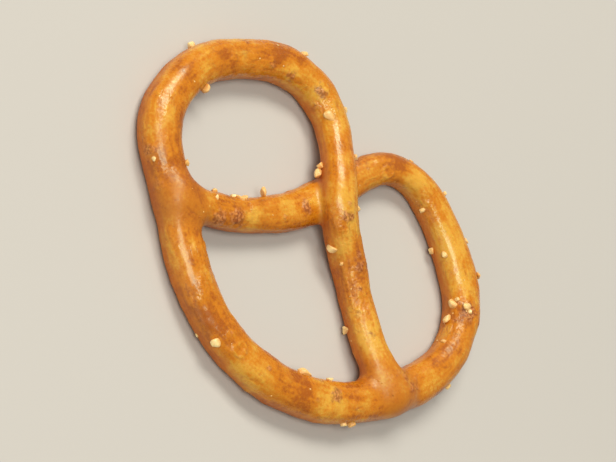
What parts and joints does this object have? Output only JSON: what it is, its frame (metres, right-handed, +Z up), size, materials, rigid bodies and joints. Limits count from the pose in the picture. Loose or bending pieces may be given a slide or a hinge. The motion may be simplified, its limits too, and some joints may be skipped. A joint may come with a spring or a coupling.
{
  "type": "pretzel",
  "caption": "Small hard-baked twisted pretzel with three holes, glossy amber crust and scattered coarse salt, lying flat.",
  "frame": {"origin": "on the surface it lies on, under the middle of its outline", "axes": "+X along its length, +Y from the bottom arc towards the two lobes, +Z up through its thickness, shown side up"},
  "size_m": [0.0695, 0.0514, 0.0078],
  "materials": {
    "crust": "glossy amber-brown baked crust with fine lengthwise wrinkles, small blisters and duller brown patches",
    "salt": "pale cream, slightly translucent angular salt grains about 1 mm across"
  },
  "bodies": {
    "root": {"pretzel": "crust"}
  },
  "joints": []
}
